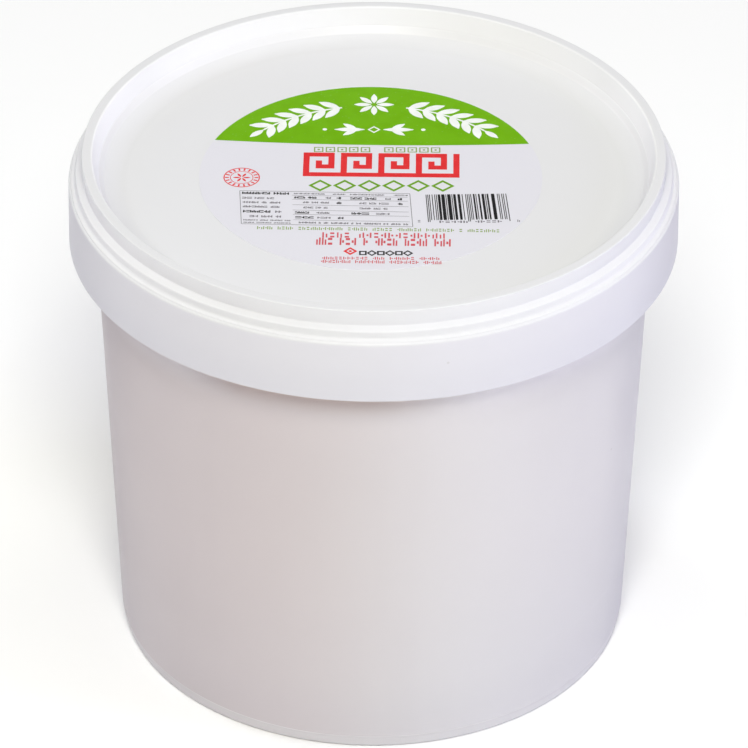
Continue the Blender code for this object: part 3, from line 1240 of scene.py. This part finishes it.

# Zones as (inner radius, outer radius, bottom, top, softness, colour): panel, dish in painted
# shade, lip in painted highlight, recess wall in painted light, the ring's outer wall and skirt
LID_TONE_AND_PAINTED_LIGHT_ZONES = (
    (-10 * MM, 88 * MM, PANEL_Z - 1 * MM, LIP_Z + 1 * MM, 2 * MM, (0.724, 0.723, 0.742)),
    (87 * MM, 96 * MM, PANEL_Z - 1 * MM, LIP_Z + 1 * MM, 1.5 * MM, (0.708, 0.707, 0.724)),
    (LIP_RADIUS - 0.2 * MM, CREASE_RADIUS + 0.8 * MM, LIP_Z - 0.1 * MM, CREASE_Z + 0.5 * MM,
     0.3 * MM, (0.770, 0.767, 0.775)),
    (CREASE_RADIUS - 0.8 * MM, RING_INNER_RADIUS + 0.2 * MM, CREASE_Z, TOP_Z + 1 * MM,
     0.6 * MM, (0.868, 0.865, 0.870)),
    (RING_FOOT_RADIUS - 0.6 * MM, RING_OUTER_RADIUS + 0.5 * MM, LEDGE_Z + LEDGE_RISE,
     TOP_Z - 0.5 * MM, 0.2 * MM, (0.765, 0.762, 0.785)),
    (SKIRT_TOP_RADIUS - 1.5 * MM, FAR_OUT, 100 * MM, SHOULDER_Z - 0.9 * MM, 0.5 * MM,
     (0.703, 0.692, 0.737)),
)

# Walls with painted light towards the sides, as ((start, end, left share, right share), zone):
# the recess wall, the ring's outer wall and the riser between the ledges
PAINTED_SIDE_LIGHT_ZONES = (
    ((80 * MM, 97 * MM, 1.0, 1.0),
     (CREASE_RADIUS - 0.8 * MM, RING_INNER_RADIUS + 0.2 * MM, CREASE_Z, TOP_Z + 1 * MM,
      0.5 * MM, (0.965, 0.962, 0.968))),
    ((50 * MM, 95 * MM, 1.0, 0.0),
     (RING_FOOT_RADIUS - 0.6 * MM, RING_OUTER_RADIUS + 0.3 * MM, LEDGE_Z + LEDGE_RISE,
      TOP_Z - 0.5 * MM, 0.2 * MM, (0.835, 0.828, 0.852))),
    ((50 * MM, 95 * MM, 1.0, 1.0),
     (LEDGE_RADIUS - 0.2 * MM, SHOULDER_RADIUS + 0.3 * MM, SHOULDER_Z + SHOULDER_RISE + 0.2 * MM,
      LEDGE_Z - 0.2 * MM, 0.2 * MM, (0.81, 0.805, 0.825))),
)


def lid_finish():
    finish = Finish("Satin_lid_plastic", LID_WHITE, PLASTIC_SHINE)
    tree = finish.tree
    x, _, z = axes(tree)
    # Painted light on the recess wall and lip, and painted shade in the dish, among the lid's own
    # tones
    for zone in LID_TONE_AND_PAINTED_LIGHT_ZONES:
        finish.tint_zone(*zone)
    # Painted light on some walls towards the sides
    for sides, zone in PAINTED_SIDE_LIGHT_ZONES:
        finish.tint_zone(*zone, side_mask(tree, x, *sides))
    finish.tint(soft_step(tree, z, *SKIRT_SHADE_Z), SKIRT_SHADE, "MULTIPLY")
    finish.tint(side_mask(tree, x, *SIDE_SHADE_SIDES), SIDE_SHADE, "MULTIPLY",
                soft_step(tree, z, *SIDE_SHADE_Z))
    cloudy = finish.effect(clouds, Scale=13.0, Contrast=0.22)
    finish.tint(cloudy, LID_CLOUD, "MULTIPLY", 0.45)
    finish.tint(finish.effect(rubs, Scale=34.0, Rarity=0.66), LID_RUB, strength=0.14)
    finish.tint(finish.effect(specks, Scale=75.0, Size=0.04), LID_DUST, strength=0.25)
    skin = finish.effect(mould_skin, Scale=800.0, Wave=1.5)
    return finish.close(cloudy, 0.34, 0.44, skin, 0.05)


give_finish(lid, lid_finish())
print("lid finish:", len(lid.data.materials[0].node_tree.nodes), "nodes")

# %% [markdown]
# ### Paper and inks
#
# The label is coated paper with a faint cool tint and a fine fibre. The inks share one way of
# being made: the colour lies a little unevenly, with tiny breaks where the paper shows through.

# %% Finish of the paper and the inks
PAPER_WHITE = (0.715, 0.705, 0.760)
PAPER_CLOUD = (0.975, 0.975, 0.98)
PAPER_FIBRE = (0.93, 0.93, 0.94)
FIBRE_STRETCH = (1, 3.5, 1)
FIBRE_SCALE = 900.0
INK_SHINE = 0.2
THIN_INK_GAIN = 1.12
THIN_INK_LIFT = 0.004


def paper_finish():
    finish = Finish("Coated_label_paper", PAPER_WHITE)
    tree = finish.tree
    cloudy = finish.effect(clouds, Scale=30.0, Contrast=0.25)
    finish.tint(cloudy, PAPER_CLOUD, "MULTIPLY", 0.4)
    fibre = noise(tree, object_coordinates(tree, FIBRE_STRETCH), FIBRE_SCALE, 3.0)
    finish.tint(soft_step(tree, fibre, 0.55, 0.75), PAPER_FIBRE, "MULTIPLY", 0.25)
    skin = finish.effect(mould_skin, Scale=1500.0, Wave=1.0)
    return finish.close(cloudy, 0.45, 0.55, skin, 0.06, 0.1 * MM)


def ink_finish(ink, colour):
    finish = Finish("Ink_" + ink, colour, INK_SHINE)
    uneven = finish.effect(clouds, Scale=260.0, Contrast=0.2)
    thin_ink = tuple(min(1.0, channel * THIN_INK_GAIN + THIN_INK_LIFT) for channel in colour)
    finish.tint(uneven, thin_ink, strength=0.6)
    finish.tint(finish.effect(specks, Scale=900.0, Size=0.28), PAPER_WHITE, strength=0.05)
    skin = finish.effect(mould_skin, Scale=1600.0, Wave=0.5)
    return finish.close(uneven, 0.42, 0.52, skin, 0.04, 0.05 * MM)


give_finish(label, paper_finish())
for ink, piece in prints.items():
    give_finish(piece, ink_finish(ink, INK_COLOURS[ink]))
print("inks finished:", list(INK_COLOURS))

# %% [markdown]
# ## Floor, light and camera
#
# The tub stands on a plain pale floor. The light is a soft studio set: one large box high in front,
# a larger one far overhead, a cool one at the right, a faint one at the left and two weak ones
# behind. Large boxes give soft shading, and the cool side lights give the lavender tint along the
# edges of white plastic.

# %% Floor and world
FLOOR_SIZE = 16
FLOOR_WHITE = (0.96, 0.96, 0.96)
FLOOR_CLOUD = (0.985, 0.985, 0.985)
WORLD_STRENGTH = 0.02

clear_selection()
bpy.ops.mesh.primitive_plane_add(size=FLOOR_SIZE, location=(0, 0, 0))
floor = bpy.context.object
floor.name = "Floor"
floor_finish = Finish("Pale_floor", FLOOR_WHITE)
floor_clouds = floor_finish.effect(clouds, Scale=2.0, Contrast=0.3)
floor_finish.tint(floor_clouds, FLOOR_CLOUD, "MULTIPLY", 0.3)
give_finish(floor, floor_finish.close(floor_clouds, 0.85, 0.95))

world = bpy.data.worlds.new("Studio")
world.use_nodes = True
background = world.node_tree.nodes["Background"]
background.inputs["Color"].default_value = (1, 1, 1, 1)
background.inputs["Strength"].default_value = WORLD_STRENGTH
bpy.context.scene.world = world
print("floor is", floor.dimensions.x, "m wide")

# %% Light boxes
LIGHT_TARGET = (0, 0, 0.1)
LIGHT_BOXES = (
    ("Front_high", (0, -2.2, 2.7), 1.2, 93.4, (1.0, 1.0, 0.935)),
    ("Overhead", (0, 0.3, 5.0), 3.5, 79.5, (0.99, 1.0, 0.92)),
    ("Right", (2.4, -0.4, 1.0), 1.2, 24.9, (0.69, 0.70, 1.0)),
    ("Left_back", (-2.2, 1.4, 1.4), 1.2, 23.6, (0.855, 0.89, 1.0)),
    ("Right_back", (2.2, 1.4, 1.4), 1.2, 5.9, (1.0, 0.885, 0.68)),
    ("Left", (-2.4, -0.4, 1.0), 1.2, 2.1, (0.8, 0.5, 1.0)),
)


def softbox(name, location, target, size, power, colour):
    data = bpy.data.lights.new(name, "AREA")
    data.shape = "SQUARE"
    data.size = size
    data.energy = power
    data.color = colour
    light = bpy.data.objects.new(name, data)
    bpy.context.scene.collection.objects.link(light)
    light.location = location
    light.rotation_mode = "QUATERNION"
    light.rotation_quaternion = (Vector(target) - Vector(location)).to_track_quat("-Z", "Y")
    light.visible_camera = False
    return light


for name, location, size, power, colour in LIGHT_BOXES:
    softbox(name, location, LIGHT_TARGET, size, power, colour)
print("light boxes:", len(LIGHT_BOXES))

# %% [markdown]
# The camera stands well back with a long lens, so the tub is seen almost without perspective.
# It looks down at 34 degrees at the middle of the tub and is rolled by a quarter of a degree.

# %% Camera
CAMERA_AIM = Vector((0.38 * MM, 0, 98.6 * MM))
CAMERA_DISTANCE = 2146.4 * MM
CAMERA_RISE = math.radians(34.07)
CAMERA_YAW = 0.00018
CAMERA_ROLL = math.radians(0.26)
CAMERA_LENS = 287.57
CAMERA_SENSOR = 36

camera_data = bpy.data.cameras.new("Camera")
camera_data.lens = CAMERA_LENS
camera_data.sensor_width = CAMERA_SENSOR
camera_data.clip_start = 0.05
camera_data.clip_end = 50
camera = bpy.data.objects.new("Camera", camera_data)
bpy.context.scene.collection.objects.link(camera)
camera.rotation_mode = "QUATERNION"
back = Vector((-CAMERA_YAW, -math.cos(CAMERA_RISE), math.sin(CAMERA_RISE))).normalized()
camera.location = CAMERA_AIM + CAMERA_DISTANCE * back
camera.rotation_quaternion = (-back).to_track_quat("-Z", "Y") @ Quaternion((0, 0, 1), CAMERA_ROLL)
bpy.context.scene.camera = camera
bpy.context.scene.view_settings.view_transform = "Standard"
print("camera at", [round(v, 4) for v in camera.location])
